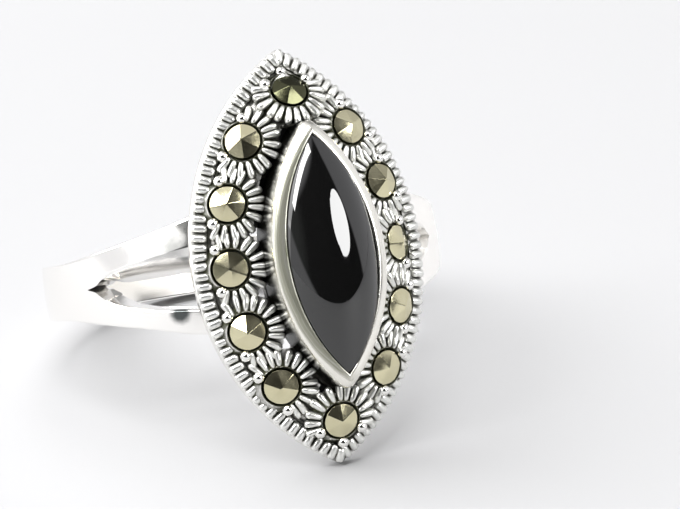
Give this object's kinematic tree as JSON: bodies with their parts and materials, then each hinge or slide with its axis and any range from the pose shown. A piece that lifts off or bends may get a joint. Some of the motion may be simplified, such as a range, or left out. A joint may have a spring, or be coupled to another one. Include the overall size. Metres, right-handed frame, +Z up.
{
  "type": "onyx and marcasite ring",
  "caption": "Silver finger ring with a navette head: a domed black onyx in a smooth collar, a border of round marcasites and milgrain, on a split shank.",
  "frame": {"origin": "on the floor, under the middle of the ring as it lies on its side", "axes": "+Z up; +X across the head, to the right of someone facing it; the head faces -Y and leans back, so the finger hole's axis points up and towards +Y"},
  "size_m": [0.0204, 0.0244, 0.0186],
  "materials": {
    "silver": "polished silver, blackened in the recesses",
    "onyx": "high polish",
    "marcasite": "cut and polished pyrite"
  },
  "bodies": {
    "root": {"silver_ring": "silver", "onyx": "onyx", "marcasite_01": "marcasite", "marcasite_02": "marcasite", "marcasite_03": "marcasite", "marcasite_04": "marcasite", "marcasite_05": "marcasite", "marcasite_06": "marcasite", "marcasite_07": "marcasite", "marcasite_08": "marcasite", "marcasite_09": "marcasite", "marcasite_10": "marcasite", "marcasite_11": "marcasite", "marcasite_12": "marcasite"}
  },
  "joints": []
}
